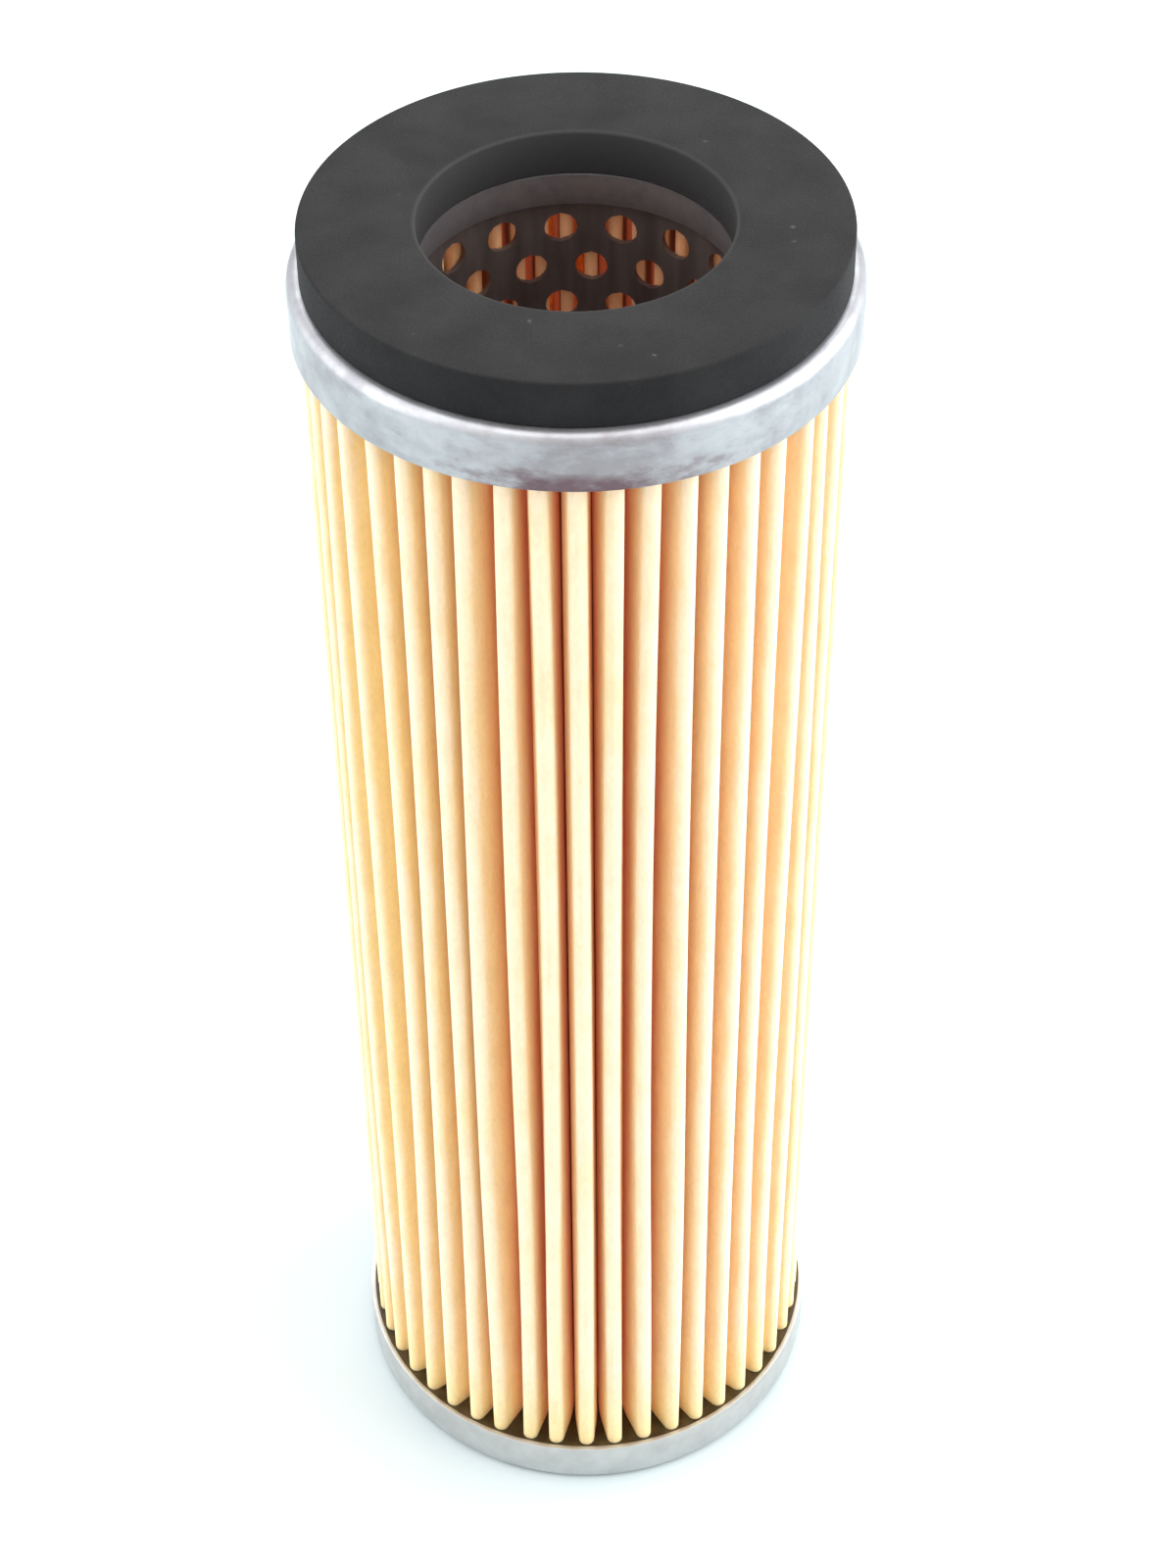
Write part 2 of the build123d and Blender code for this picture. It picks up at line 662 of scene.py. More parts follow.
@dataclass(frozen=True)
class ZincFinish:
    """Zinc plate on pressed steel: soft cloudy reflections and faint drawing marks."""

    name: str = "zinc_plate"
    colour: Triple = (0.435, 0.445, 0.470)
    dull_colour: Triple = (0.325, 0.325, 0.350)
    # patches of painted highlight and painted dark reflection laid on the plate
    painted_light_patches: tuple[PaintedLightPatch, ...] = ()
    cloud_size: float = 3.5 * MM
    grain_size: float = 0.35 * MM
    grain_share: float = 0.6
    grain_span: Range = (0.5, 1.1)
    roughness: Range = (0.34, 0.50)
    wave_size: float = 7.0 * MM
    wave_depth: float = 0.15 * MM

    def make(self) -> bpy.types.Material:
        """Builds the plated steel's material.

        Returns:
            The material.
        """
        bench = NodeBench(self.name)
        clouds = bench.noise(self.cloud_size, detail=4.0, roughness=0.6)
        plate = bench.blend(bench.spread(clouds, NOISE_CORE), self.colour, self.dull_colour)
        # lays the patches of painted light
        for patch_of_light in self.painted_light_patches:
            plate = patch_of_light.lay(bench, plate)
        bench.feed("Base Color", plate)
        grain = bench.noise(self.grain_size, detail=3.0, roughness=0.6, stretch=(1.0, 1.0, 2.0))
        marks = bench.add_share(clouds, grain, self.grain_share)
        bench.feed("Roughness", bench.spread(marks, self.grain_span, self.roughness))
        bench.fix({"Metallic": 0.85, "Coat Weight": 0.3, "Coat Roughness": 0.25, "Coat IOR": 1.6})
        bench.bump(bench.noise(self.wave_size, detail=2.0, roughness=0.4), self.wave_depth)
        return bench.material


# painted highlight on the upper front of the open cap's rim
FRONT_PAINTED_HIGHLIGHT = PaintedLightPatch(
    colour=(0.56, 0.57, 0.59),
    place=(0.0, -26.0 * MM, 147.0 * MM),
    size=(21.0 * MM, 14.0 * MM, 6.5 * MM),
    core=0.6,
    fade=1.2,
    strength=0.60,
)
# painted dark reflection in the middle of the rim's front
FRONT_PAINTED_DARK_REFLECTION = PaintedLightPatch(
    colour=(0.28, 0.255, 0.27),
    place=(1.0 * MM, -26.0 * MM, 146.5 * MM),
    size=(9.5 * MM, 9.0 * MM, 4.2 * MM),
    core=0.45,
    fade=1.4,
    strength=0.90,
)
# painted dark reflection along the lower edge of the rim's front
EDGE_PAINTED_DARK_REFLECTION = PaintedLightPatch(
    colour=(0.13, 0.07, 0.085),
    place=(0.8 * MM, -26.0 * MM, 144.9 * MM),
    size=(10.0 * MM, 9.0 * MM, 2.0 * MM),
    core=0.30,
    fade=1.2,
    strength=0.95,
)
# the open cap's plate, with its painted highlight and painted dark reflections
OPEN_CAP_PAINTED_PLATE = ZincFinish(painted_light_patches=(FRONT_PAINTED_HIGHLIGHT, FRONT_PAINTED_DARK_REFLECTION, EDGE_PAINTED_DARK_REFLECTION))
# lit and shaded copies of one zinc: the closed cap's lighter plate is painted reflection of the
# bright floor beside it, the open cap's darker one of the darker surroundings in front
BRIGHT_PLATE = ZincFinish(
    name="zinc_plate_bright", colour=(0.56, 0.565, 0.565), dull_colour=(0.47, 0.475, 0.475)
)


@dataclass(frozen=True)
class RubberFinish:
    """Matte black rubber with a fine grain, a grey bloom, a few specks of dust and painted light on
    the bore's wall.
    """

    bore_radius: float
    colour: Triple = (0.0095, 0.0092, 0.0102)
    bloom_colour: Triple = (0.0160, 0.0155, 0.0160)
    bloom_size: float = 6.0 * MM
    # painted light: the bore's wall, which the lamps barely reach, is coloured lighter
    bore_painted_light_colour: Triple = (0.034, 0.033, 0.034)
    bore_painted_light_edge: Range = (0.05 * MM, 0.4 * MM)
    dust_colour: Triple = (0.09, 0.09, 0.09)
    dust_pitch: float = 2.4 * MM
    dust_edge: Range = (0.05, 0.14)
    dust_patch: float = 3.0 * MM
    dust_span: Range = (0.60, 0.66)
    dust_share: float = 0.55
    grain_size: float = 0.22 * MM
    grain_depth: float = 0.03 * MM
    roughness: Range = (0.62, 0.82)
    specular: float = 0.18

    def dust(self, bench: NodeBench) -> Socket:
        """How much dust lies where: small specks, and those only in patches.

        Args:
            bench: the material's bench.

        Returns:
            The cover's output.
        """
        specks = bench.node("TexVoronoi", {"Scale": 1.0 / self.dust_pitch, "Randomness": 1.0})
        bench.join(bench.place(), specks.inputs["Vector"])
        patches = bench.noise(self.dust_patch, detail=2.0, roughness=0.5)
        return bench.multiply(
            bench.spread(specks.outputs["Distance"], self.dust_edge, FADING),
            bench.spread(patches, self.dust_span, (0.0, self.dust_share)),
        )

    def make(self) -> bpy.types.Material:
        """Builds the rubber's material.

        Returns:
            The material.
        """
        bench = NodeBench("black_rubber")
        bloom = bench.spread(bench.noise(self.bloom_size, detail=5.0, roughness=0.6), NOISE_CORE)
        face = bench.blend(bloom, self.colour, self.bloom_colour)
        # painted light: lighter colour on the bore's wall
        start, end = (self.bore_radius + margin for margin in self.bore_painted_light_edge)
        bore_painted_light_share = bench.spread(bench.radius(), (start, end), FADING)
        body = bench.blend(bore_painted_light_share, face, self.bore_painted_light_colour)
        bench.feed("Base Color", bench.blend(self.dust(bench), body, self.dust_colour))
        grain = bench.noise(self.grain_size, detail=4.0, roughness=0.6)
        bench.feed("Roughness", bench.spread(grain, NOISE_SPAN, self.roughness))
        bench.fix({"Specular IOR Level": self.specular})
        bench.bump(grain, self.grain_depth)
        return bench.material


@dataclass(frozen=True)
class CompoundFinish:
    """Cured dark adhesive: brown-black, satin, with the soft ripples it set with."""

    colour: Triple = (0.028, 0.018, 0.005)
    thin_colour: Triple = (0.070, 0.044, 0.012)
    thin_span: Range = (0.4, 0.75)
    ripple_size: float = 1.5 * MM
    ripple_depth: float = 0.10 * MM
    roughness: Range = (0.30, 0.50)

    def make(self) -> bpy.types.Material:
        """Builds the adhesive's material.

        Returns:
            The material.
        """
        bench = NodeBench("sealing_compound")
        ripples = bench.noise(self.ripple_size, detail=3.0, roughness=0.5)
        bench.two_tone(ripples, self.thin_span, self.colour, self.thin_colour)
        bench.feed("Roughness", bench.spread(ripples, NOISE_SPAN, self.roughness))
        bench.bump(ripples, self.ripple_depth)
        return bench.material


@dataclass(frozen=True)
class TubeFinish:
    """Dull untreated sheet steel, dark with a thin film of oil, streaked along the tube."""

    colour: Triple = (0.17, 0.145, 0.14)
    streak_colour: Triple = (0.22, 0.185, 0.175)
    streak_size: float = 1.2 * MM
    grain_size: float = 0.4 * MM
    grain_depth: float = 0.02 * MM
    roughness: Range = (0.42, 0.60)

    def make(self) -> bpy.types.Material:
        """Builds the tube steel's material.

        Returns:
            The material.
        """
        bench = NodeBench("tube_steel")
        streaks = bench.noise(self.streak_size, detail=4.0, roughness=0.6, stretch=(1.0, 1.0, 0.12))
        bench.two_tone(streaks, NOISE_CORE, self.colour, self.streak_colour)
        bench.feed("Roughness", bench.spread(streaks, NOISE_SPAN, self.roughness))
        bench.fix({"Metallic": 0.75})
        bench.bump(bench.noise(self.grain_size, detail=3.0, roughness=0.6), self.grain_depth)
        return bench.material


@dataclass(frozen=True)
class SweepFinish:
    """The pale studio floor, with the faint cloudiness of a paper roll."""

    colour: Triple = (0.56, 0.62, 0.63)
    cloud_colour: Triple = (0.54, 0.61, 0.62)
    cloud_size: float = 60.0 * MM

    def make(self) -> bpy.types.Material:
        """Builds the floor's material.

        Returns:
            The material.
        """
        bench = NodeBench("studio_sweep")
        clouds = bench.noise(self.cloud_size, detail=3.0, roughness=0.5)
        bench.two_tone(clouds, NOISE_SPAN, self.colour, self.cloud_colour)
        bench.fix({"Roughness": 0.9})
        return bench.material


# ---------------- turned and pressed pieces


def make_washer(name: str, inner: float, span: Span, rings: int) -> Piece:
    """Models a flat ring from a cylinder, its two ends inset and bridged through the middle.

    Args:
        name: the piece's name.
        inner: radius of its hole.
        span: its own radius, foot and top.
        rings: how many bands its flat faces are inset into.

    Returns:
        The ring, in edit mode.
    """
    piece = begin_cylinder(name, span)
    pick(piece, Part.FACE, lambda middle, normal: is_level(normal))
    for _ in range(rings):
        thickness = (span.outer - inner) / rings
        bpy.ops.mesh.inset(thickness=thickness, depth=0.0, use_even_offset=True)
    bpy.ops.mesh.delete(type="FACE")
    pick(piece, Part.EDGE, lambda start, end: on_circle(start, end, inner, INSET_SLACK))
    bpy.ops.mesh.bridge_edge_loops()
    return piece


@dataclass
class Gasket(ElementPiece):
    """The thick flat rubber ring, cut from sheet and glued on the open end."""

    node: str = "gasket"
    bore: float = 14.2 * MM
    edge_round: float = 0.28 * MM

    def build(self) -> None:
        """Models the ring, eases its cut edges and dresses it."""
        piece = make_washer("rubber_gasket", self.bore, self.span, rings=1)
        pick(piece, Part.EDGE, lambda start, end: on_circle(start, end, reach(start)))
        bpy.ops.mesh.bevel(offset=self.edge_round, segments=3, affect="EDGES")
        finish_piece(piece, RubberFinish(self.bore).make(), smooth_deg=50.0)
        self.seat(piece, "black_rubber")


class CapEnd(Enum):
    """Which end of the element a pressed cap closes."""

    OPEN = "top_end_cap"
    CLOSED = "bottom_end_cap"


@dataclass
class PressedCap(ElementPiece):
    """A cap drawn from plated sheet: the open one has a collar, the closed one a raised middle."""

    end: CapEnd
    sheet: float = 0.5 * MM
    shoulder: float = 1.1 * MM
    collar_radius: float = 14.9 * MM
    collar_depth: float = 3.6 * MM
    collar_bend: float = 0.5 * MM
    middle_height: float = 1.2 * MM
    rim_ease: float = 0.12 * MM
    rim_deg: float = 60.0

    @property
    def node(self) -> str:
        """The CAD solid of the cap."""
        return self.end.value

    @property
    def is_open(self) -> bool:
        """Whether this is the cap of the open end."""
        return self.end is CapEnd.OPEN

    @property
    def flat_height(self) -> float:
        """Height of the cap's flat outer face."""
        return self.span.top if self.is_open else self.span.foot

    def press(self) -> Piece:
        """Draws the cap's skin from a cylinder open at one end.

        Returns:
            The skin, in edit mode, with no thickness yet.
        """
        name = "pressed_cap_open" if self.is_open else "pressed_cap_closed"
        piece = begin_cylinder(name, self.span)
        flat = self.flat_height
        pick(piece, Part.FACE, lambda middle, normal: is_level(normal) and not near(middle.z, flat))
        bpy.ops.mesh.delete(type="FACE")
        pick(piece, Part.FACE, lambda middle, normal: is_level(normal))
        bpy.ops.mesh.inset(thickness=self.span.outer - self.collar_radius, depth=0.0)
        drawn = -self.collar_depth if self.is_open else self.middle_height
        bpy.ops.mesh.extrude_region_move(TRANSFORM_OT_translate={"value": (0.0, 0.0, drawn)})
        if self.is_open:
            bpy.ops.mesh.delete(type="FACE")
        return piece

    def round_bends(self, piece: Piece) -> None:
        """Gives the shoulder and the drawn edge the round of a pressing.

        Args:
            piece: the skin, in edit mode.
        """
        pick(
            piece,
            Part.EDGE,
            lambda start, end: on_circle(start, end, self.span.outer)
            and near(start.z, self.flat_height),
        )
        bpy.ops.mesh.bevel(offset=self.shoulder, segments=8, affect="EDGES")
        pick(
            piece,
            Part.EDGE,
            lambda start, end: on_circle(start, end, self.collar_radius, INSET_SLACK)
            and (near(start.z, self.flat_height) or not self.is_open),
        )
        bpy.ops.mesh.bevel(offset=self.collar_bend, segments=4, affect="EDGES")

    def build(self) -> None:
        """Presses the cap, gives it its sheet thickness and dresses it."""
        piece = self.press()
        self.round_bends(piece)
        bpy.ops.object.mode_set(mode="OBJECT")
        add_modifier(piece, "SOLIDIFY", thickness=self.sheet, offset=-1.0, use_even_offset=True)
        edge = {"limit_method": "ANGLE", "angle_limit": math.radians(self.rim_deg)}
        add_modifier(piece, "BEVEL", width=self.rim_ease, segments=2, **edge)
        # the open and closed caps take the shaded and the lit copy of the zinc
        finish = OPEN_CAP_PAINTED_PLATE if self.is_open else BRIGHT_PLATE
        finish_piece(piece, finish.make(), smooth_deg=40.0)
        self.seat(piece, "zinc_plate")


@dataclass
class CompoundRing(ElementPiece):
    """A flat ring of cured adhesive that fills a cap from the tube to the rim."""

    node: str
    inner: float
    name: str
    rings: int = 7

    def build(self) -> None:
        """Models the ring in narrow bands and dresses it."""
        piece = make_washer(self.name, self.inner, self.span, self.rings)
        finish_piece(piece, CompoundFinish().make(), smooth_deg=40.0)
        self.seat(piece, "sealing_compound")


# ---------------- perforated tube


@dataclass
class CentreTube(ElementPiece):
    """The rolled perforated sheet that carries the pleats, pierced all the way down."""

    node: str = "centre_tube"
    wall: float = 0.6 * MM
    hole_radius: float = 1.6 * MM
    holes_round: int = 17
    row_pitch: float = 4.33 * MM
    first_row_drop: float = 1.7 * MM
    cell_bands: int = 6
    cell_slack: float = 0.01 * MM
    weld: float = 0.06 * MM

    @property
    def middle_radius(self) -> float:
        """Radius of the middle of the tube's wall."""
        return self.span.outer - self.wall / 2

    @property
    def first_row(self) -> float:
        """Height of the uppermost row of holes."""
        return self.span.top - self.first_row_drop

    def punch_cell(self) -> Piece:
        """Models one patch of the sheet with its hole, facing +X in the first row.

        Returns:
            The patch, in edit mode.
        """
        height = self.first_row
        width = 2 * self.middle_radius * math.tan(math.pi / self.holes_round)
        bpy.ops.mesh.primitive_grid_add(
            x_subdivisions=self.cell_bands,
            y_subdivisions=self.cell_bands,
            size=1.0,
            rotation=(0.0, math.pi / 2, 0.0),
            location=(self.middle_radius, 0.0, height),
        )
        bpy.context.active_object.scale = (self.row_pitch, width, 1.0)
        piece = begin_piece("perforated_tube")
        inner_share = 0.5 - 1 / self.cell_bands
        half_width = width * inner_share + self.cell_slack
        half_rise = self.row_pitch * inner_share + self.cell_slack

        def in_hole(place: Vector) -> bool:
            """Whether a place lies in the part of the patch that the hole takes."""
            return abs(place.y) < half_width and abs(place.z - height) < half_rise

        pick(piece, Part.FACE, lambda middle, normal: in_hole(middle))
        bpy.ops.mesh.delete(type="FACE")
        pick(piece, Part.VERT, in_hole)
        bpy.ops.transform.tosphere(value=1.0)
        mesh = bmesh.from_edit_mesh(piece.data)
        reaches = [
            math.hypot(vertex.co.y, vertex.co.z - height) for vertex in mesh.verts if vertex.select
        ]
        grow = self.hole_radius / (sum(reaches) / len(reaches))
        bpy.ops.transform.resize(
            value=(1.0, grow, grow), center_override=(self.middle_radius, 0.0, height)
        )
        return piece

    def roll(self, piece: Piece) -> None:
        """Repeats the patch all the way round and rounds the row to the tube.

        Args:
            piece: the patch, in edit mode; it is left in object mode.
        """
        bpy.ops.mesh.select_all(action="SELECT")
        bpy.ops.mesh.spin(
            steps=self.holes_round - 1,
            dupli=True,
            angle=math.tau * (self.holes_round - 1) / self.holes_round,
            center=ORIGIN,
            axis=AXIS,
        )
        bpy.ops.object.mode_set(mode="OBJECT")
        size = {"size": self.middle_radius, "use_radius_as_size": False}
        add_modifier(piece, "CAST", cast_type="CYLINDER", factor=1.0, use_z=False, **size)

    def pierce(self) -> Piece:
        """Repeats the first row down the tube, each row staggered, and trims both ends.

        Returns:
            The tube's skin, in object mode, with no thickness yet.
        """
        piece = self.punch_cell()
        self.roll(piece)
        rows = math.ceil((self.first_row - self.span.foot) / self.row_pitch) + 1
        bpy.ops.object.mode_set(mode="EDIT")
        bpy.ops.mesh.select_all(action="SELECT")
        drop = (0.0, 0.0, -self.row_pitch)
        for _ in range(1, rows):
            bpy.ops.mesh.duplicate_move(TRANSFORM_OT_translate={"value": drop})
            turn_selection(-math.pi / self.holes_round)
        bpy.ops.mesh.select_all(action="SELECT")
        bpy.ops.mesh.remove_doubles(threshold=self.weld)
        for level, direction in ((self.span.top, 1.0), (self.span.foot, -1.0)):
            bpy.ops.mesh.select_all(action="SELECT")
            bpy.ops.mesh.bisect(
                plane_co=(0.0, 0.0, level), plane_no=(0.0, 0.0, direction), clear_outer=True
            )
        close_surface()
        return piece

    def build(self) -> None:
        """Models the tube, gives it its wall and dresses it."""
        piece = self.pierce()
        add_modifier(piece, "SOLIDIFY", thickness=self.wall, offset=0.0, use_even_offset=True)
        finish_piece(piece, TubeFinish().make(), smooth_deg=35.0)
        self.seat(piece, "tube_steel")


# ---------------- pleated paper


CORNERS = 6  # of one pleat's line: two at the outer fold, two at the pinch, two at the root


@dataclass(frozen=True)
class FoldCorner:
    """One corner of a pleat's line: the column it is centred on, and its place off that."""

    middle: float
    radius: float
    offset: float


@dataclass(frozen=True)
class FoldStray:
    """How one outer fold strays from its even place, and sways from foot to top.

    The foot is held in the compound: only a share of the stray shows there, and the fold comes
    free by a share of the height.
    """

    turn: float
    sway: float
    phase: float
    waves: float = 0.6
    foot_play: float = 0.35
    free_share: float = 0.3

    def at(self, share: float) -> float:
        """The fold's turn off its even place, at one height.

        Args:
            share: height in the sheet, from 0 at its foot to 1 at its top.

        Returns:
            The turn, in radians.
        """
        play = min(1.0, self.foot_play + (1.0 - self.foot_play) * share / self.free_share)
        swing = self.sway * math.sin(self.phase + self.waves * math.tau * share)
        return play * (self.turn + swing)


@dataclass
class PleatPack(ElementPiece):
    """The sheet of filter paper, folded to and fro: no pleat is quite where its neighbours are."""

    node: str = "pleated_media"
    count: int = 46
    paper: float = 0.5 * MM
    tip_fold: float = 0.53 * MM
    pinch_fold: float = 0.33 * MM
    root_fold: float = 0.36 * MM
    tip_radius: float = 25.2 * MM
    pinch_radius: float = 20.8 * MM
    root_radius: float = 16.4 * MM
    tip_bevel: float = 0.93
    root_bevel: float = 0.85
    flank_bend: float = 1.2 * MM
    tip_zone_folds: float = 2.5
    levels: int = 14
    first_fold_deg: float = 3.15
    stray_deg: float = 1.3
    sway_deg: float = 1.0
    seed: int = 4345492

    @property
    def columns_round(self) -> int:
        """How many corner columns the whole sheet has."""
        return CORNERS * self.count

    @property
    def tip_zone(self) -> float:
        """Radius beyond which everything belongs to an outer fold."""
        return self.tip_radius - self.tip_zone_folds * self.tip_fold

    def corners(self) -> tuple[FoldCorner, ...]:
        """The corners of one pleat: two at the outer fold, then down the valley and out again.

        Returns:
            The corners, in the order of their columns.
        """
        tip = self.tip_radius - self.paper / 2
        root = self.root_radius + self.paper / 2
        ridge = 0.5  # between the first two columns
        valley = ridge + CORNERS / 2
        return (
            FoldCorner(ridge, tip, -self.tip_fold),
            FoldCorner(ridge, tip, self.tip_fold),
            FoldCorner(valley, self.pinch_radius, -self.pinch_fold),
            FoldCorner(valley, root, -self.root_fold),
            FoldCorner(valley, root, self.root_fold),
            FoldCorner(valley, self.pinch_radius, self.pinch_fold),
        )

    def strays(self) -> list[FoldStray]:
        """Draws how each outer fold strays.

        Returns:
            The stray of each pleat in turn.
        """
        chance = random.Random(self.seed)
        return [
            FoldStray(
                turn=chance.uniform(-1.0, 1.0) * math.radians(self.stray_deg),
                sway=chance.random() * math.radians(self.sway_deg),
                phase=chance.random() * math.tau,
            )
            for _ in range(self.count)
        ]

    def columns(self, piece: Piece) -> dict[int, int]:
        """Counts the corner columns all the way round the fold line.

        Args:
            piece: the fold line, in edit mode, before its corners are rounded.

        Returns:
            The column of each vertex, by the vertex's index.
        """
        step = math.tau / self.columns_round
        return {
            vertex.index: round((math.atan2(vertex.co.y, vertex.co.x) % math.tau) / step)
            % self.columns_round
            for vertex in bmesh.from_edit_mesh(piece.data).verts
        }

    @staticmethod
    def select_columns(
        piece: Piece, columns: dict[int, int], wanted: Callable[[int], bool]
    ) -> None:
        """Selects the vertices of the columns that are wanted.

        Args:
            piece: the fold line, in edit mode.
            columns: column of each vertex, by its index.
            wanted: says of a column whether it is wanted.
        """
        bpy.ops.mesh.select_mode(type="VERT")
        for vertex in bmesh.from_edit_mesh(piece.data).verts:
            vertex.select = wanted(columns[vertex.index])
        bmesh.update_edit_mesh(piece.data)

    def fold_line(self) -> Piece:
        """Draws the fold line of the sheet's foot from a circle, moving each corner to its place.

        Returns:
            The closed line, in edit mode.
        """
        bpy.ops.mesh.primitive_circle_add(
            vertices=self.columns_round,
            radius=self.tip_radius,
            fill_type="NOTHING",
            location=(0.0, 0.0, self.span.foot),
        )
        piece = begin_piece("pleated_paper")
        step = math.tau / self.columns_round
        columns = self.columns(piece)
        for place, corner in enumerate(self.corners()):
            self.select_columns(piece, columns, lambda column: column % CORNERS == place)
            turn = (corner.middle - place) * step
            turn_selection(turn + math.atan2(corner.offset, corner.radius))
            share = math.hypot(corner.radius, corner.offset) / self.tip_radius
            bpy.ops.transform.resize(value=(share, share, 1.0), center_override=ORIGIN)
        return piece

    def stray_tips(self, piece: Piece, strays: list[FoldStray]) -> None:
        """Turns each outer fold a little off its even place.

        Args:
            piece: the fold line, in edit mode.
            strays: how each outer fold strays.
        """
        columns = self.columns(piece)
        for pleat, stray in enumerate(strays):
            tip_columns = (CORNERS * pleat, CORNERS * pleat + 1)
            self.select_columns(piece, columns, lambda column: column in tip_columns)
            turn_selection(stray.at(0.0))

    def round_folds(self, piece: Piece) -> None:
        """Rounds the corners of the fold line: outer folds, bent flanks and inner folds.

        Args:
            piece: the fold line, in edit mode.
        """
        root_zone = (self.root_radius + self.pinch_radius) / 2
        pick(piece, Part.VERT, lambda place: reach(place) > self.tip_zone)
        bpy.ops.mesh.bevel(offset=self.tip_bevel * self.tip_fold, segments=5, affect="VERTICES")
        pick(piece, Part.VERT, lambda place: root_zone < reach(place) < self.tip_zone)
        bpy.ops.mesh.bevel(offset=self.flank_bend, segments=3, affect="VERTICES")
        pick(piece, Part.VERT, lambda place: reach(place) < root_zone)
        bpy.ops.mesh.bevel(offset=self.root_bevel * self.root_fold, segments=2, affect="VERTICES")

    def tips_of(self, ring: list[Vertex]) -> list[list[Vertex]]:
        """Sorts the vertices of the outer folds by pleat.

        Args:
            ring: one level of the sheet.

        Returns:
            The outer fold's vertices of each pleat.
        """
        pitch = math.tau / self.count
        tips: list[list[Vertex]] = [[] for _ in range(self.count)]
        for vertex in ring:
            if reach(vertex.co) > self.tip_zone:
                turn = math.atan2(vertex.co.y, vertex.co.x) - math.radians(self.first_fold_deg)
                tips[round(turn / pitch) % self.count].append(vertex)
        return tips

    def raise_sheet(self, piece: Piece, strays: list[FoldStray]) -> None:
        """Extrudes the fold line upwards, each outer fold swaying a little on the way.

        Args:
            piece: the rounded fold line, in edit mode.
            strays: how each outer fold strays.
        """
        rise = (0.0, 0.0, self.span.height / self.levels)
        bpy.ops.mesh.select_all(action="SELECT")
        for level in range(1, self.levels + 1):
            bpy.ops.mesh.extrude_region_move(TRANSFORM_OT_translate={"value": rise})
            mesh = bmesh.from_edit_mesh(piece.data)
            ring = [vertex for vertex in mesh.verts if vertex.select]
            for stray, tip in zip(strays, self.tips_of(ring)):
                for vertex in ring:
                    vertex.select = False
                for vertex in tip:
                    vertex.select = True
                bmesh.update_edit_mesh(piece.data)
                turn_selection(stray.at(level / self.levels) - stray.at((level - 1) / self.levels))
            for vertex in ring:
                vertex.select = True
            mesh.select_flush_mode()
            bmesh.update_edit_mesh(piece.data)

    def build(self) -> None:
        """Folds the sheet, raises it level by level and dresses it."""
        strays = self.strays()
        piece = self.fold_line()
        self.stray_tips(piece, strays)
        bpy.ops.mesh.select_all(action="SELECT")
        turn_selection(math.radians(self.first_fold_deg) - math.pi / self.columns_round)
        self.round_folds(piece)
        self.raise_sheet(piece, strays)
        close_surface()
        add_modifier(piece, "SOLIDIFY", thickness=self.paper, offset=0.0, use_even_offset=True)
        finish = PaperFinish(self.root_radius, self.tip_radius)
        finish_piece(piece, finish.make(), smooth_deg=60.0)
        self.seat(piece, "filter_paper")


# ---------------- studio


@dataclass(frozen=True)
class Softbox:
    """A square soft light: its place, the side of its face and its power in watts."""

    name: str
    place: Triple
    size: float
    power: float

    def hang(self, target: Vector) -> None:
        """Hangs the light so that it faces a target.

        Args:
            target: the place that it faces.
        """
        lamp = bpy.data.lights.new(self.name, "AREA")
        lamp.shape = "SQUARE"
        lamp.size = self.size
        lamp.energy = self.power
        holder = bpy.data.objects.new(self.name, lamp)
        holder.location = self.place
        holder.rotation_mode = "QUATERNION"
        holder.rotation_quaternion = (target - Vector(self.place)).to_track_quat("-Z", "Y")
        bpy.context.scene.collection.objects.link(holder)


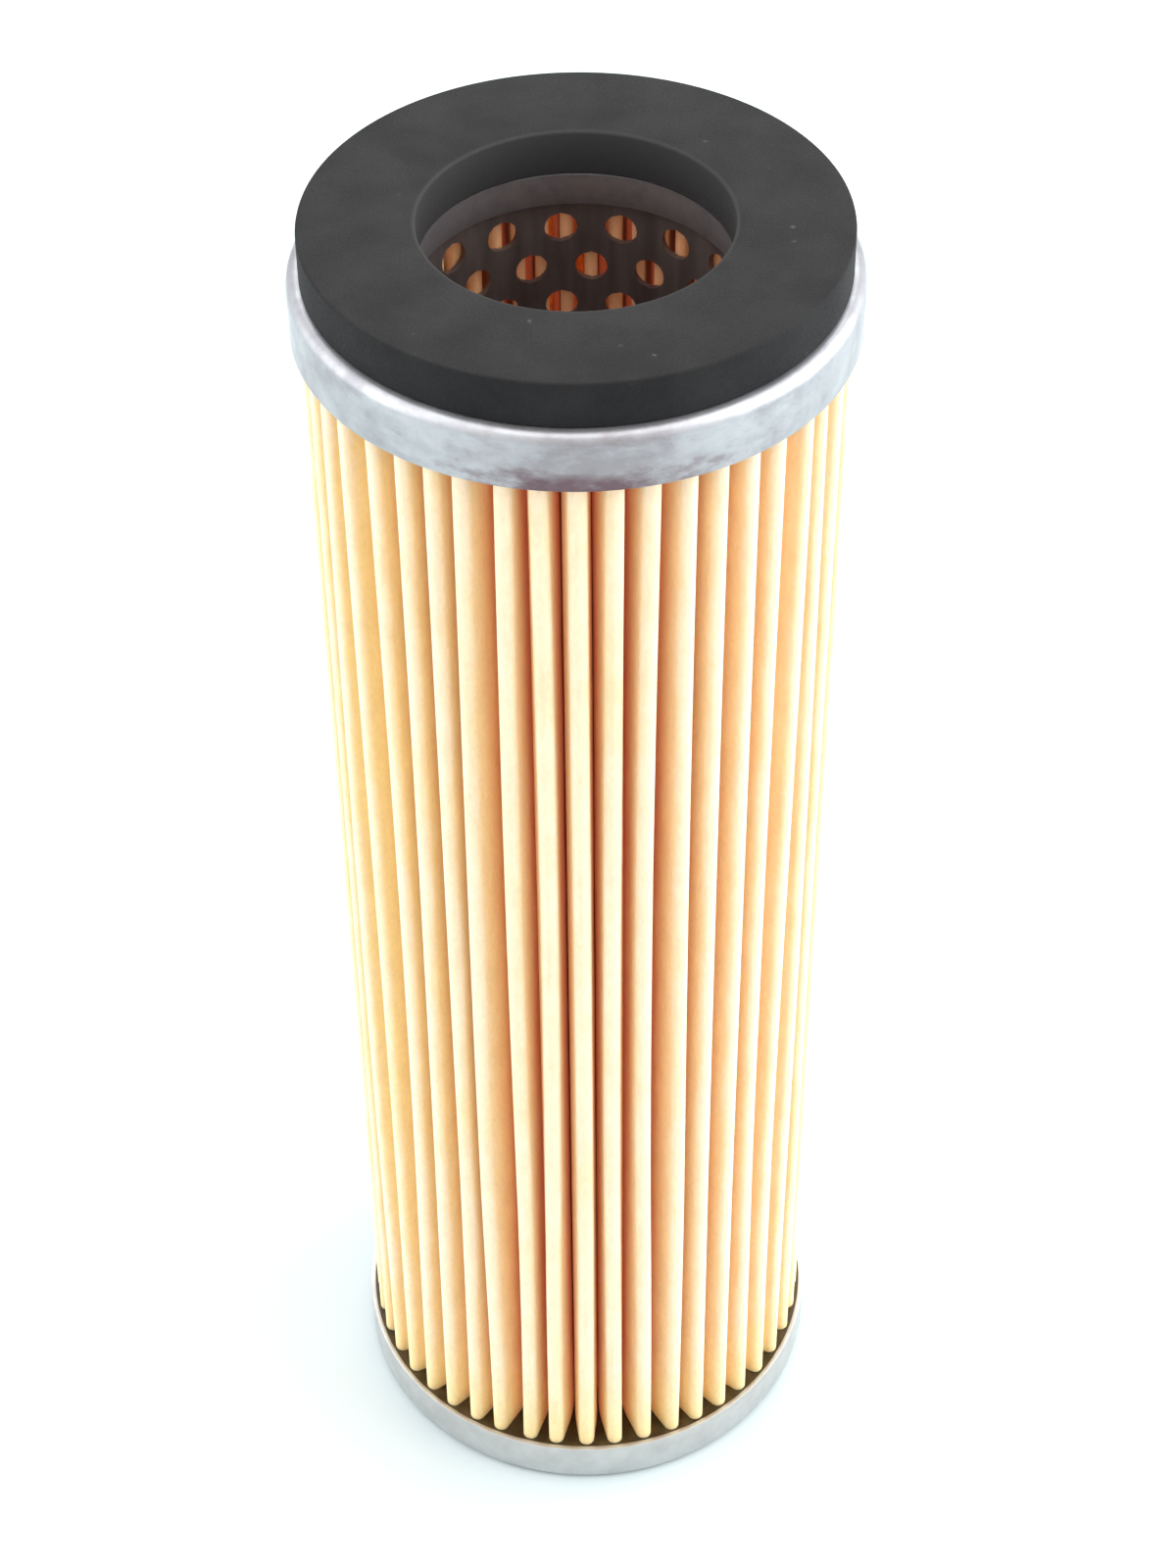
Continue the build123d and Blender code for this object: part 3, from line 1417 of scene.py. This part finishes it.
@dataclass(frozen=True)
class Studio:
    """The pale floor, the soft lights and the camera that looks down on the element."""

    aim_height: float
    softboxes: tuple[Softbox, ...] = (
        Softbox("left_softbox", (-0.95, 0.0, 0.50), size=1.15, power=7.5),
        Softbox("right_softbox", (0.95, 0.05, 0.50), size=1.15, power=16.5),
        Softbox("top_softbox", (0.0, 0.0, 0.90), size=0.9, power=4.0),
        Softbox("back_softbox", (0.0, 0.75, 0.80), size=0.8, power=3.5),
    )
    room_strength: float = 1.08
    floor_size: float = 6.0
    lens: float = 72.07
    nearest: float = 0.01
    elevation_deg: float = 44.73
    distance: float = 331.9 * MM
    yaw_deg: float = -0.113
    pitch_deg: float = 1.394
    roll_deg: float = 0.61

    @property
    def aim(self) -> Vector:
        """The place that the lights face and the camera is set out from."""
        return Vector((0.0, 0.0, self.aim_height))

    def set_camera(self) -> None:
        """Stands the camera in front of and above the element, then yaws, pitches and rolls it."""
        drop = math.radians(self.elevation_deg)
        forward = Vector((0.0, math.cos(drop), -math.sin(drop)))
        right = Vector((1.0, 0.0, 0.0))
        upward = right.cross(forward)
        place = self.aim - self.distance * forward
        yaw = Matrix.Rotation(math.radians(self.yaw_deg), 3, upward)
        forward, right = yaw @ forward, yaw @ right
        pitch = Matrix.Rotation(math.radians(self.pitch_deg), 3, right)
        forward, upward = pitch @ forward, pitch @ upward
        roll = Matrix.Rotation(math.radians(self.roll_deg), 3, forward)
        right, upward = roll @ right, roll @ upward
        camera = bpy.data.objects.new("camera", bpy.data.cameras.new("camera"))
        camera.data.lens = self.lens
        camera.data.clip_start = self.nearest
        facing = Matrix((right, upward, -forward)).transposed().to_4x4()
        camera.matrix_world = Matrix.Translation(place) @ facing
        bpy.context.scene.collection.objects.link(camera)
        bpy.context.scene.camera = camera

    def lay_floor(self) -> None:
        """Lays the pale floor."""
        bpy.ops.mesh.primitive_plane_add(size=self.floor_size, location=ORIGIN)
        floor = begin_piece("studio_floor")
        bpy.ops.mesh.select_all(action="SELECT")
        bpy.ops.mesh.subdivide(number_cuts=3)
        finish_piece(floor, SweepFinish().make(), smooth_deg=30.0)

    def light(self) -> None:
        """Lights the element from both sides, above and behind, inside a pale room."""
        for softbox in self.softboxes:
            softbox.hang(self.aim)
        world = bpy.data.worlds.new("pale_room")
        world.use_nodes = True
        background = world.node_tree.nodes["Background"]
        background.inputs["Color"].default_value = (1.0, 1.0, 1.0, 1.0)
        background.inputs["Strength"].default_value = self.room_strength
        bpy.context.scene.world = world

    def build(self) -> None:
        """Sets up the floor, the lights, the camera and the plain view of their light."""
        self.lay_floor()
        self.light()
        self.set_camera()
        bpy.context.scene.view_settings.view_transform = "Standard"


def main() -> None:
    """Builds the element's pieces in order, then the studio round them."""
    logging.basicConfig(level=logging.INFO, format="%(name)s: %(message)s")
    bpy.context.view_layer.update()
    for cap_end in CapEnd:
        PressedCap(cap_end).build()
    Gasket().build()
    tube_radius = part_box("centre_tube")[1].x
    CompoundRing("bottom_compound", tube_radius, "adhesive_closed_end").build()
    CompoundRing("top_compound", tube_radius, "adhesive_open_end").build()
    CentreTube().build()
    PleatPack().build()
    Studio(aim_height=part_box("top_end_cap")[1].z / 2).build()


if __name__ == "__main__":
    main()
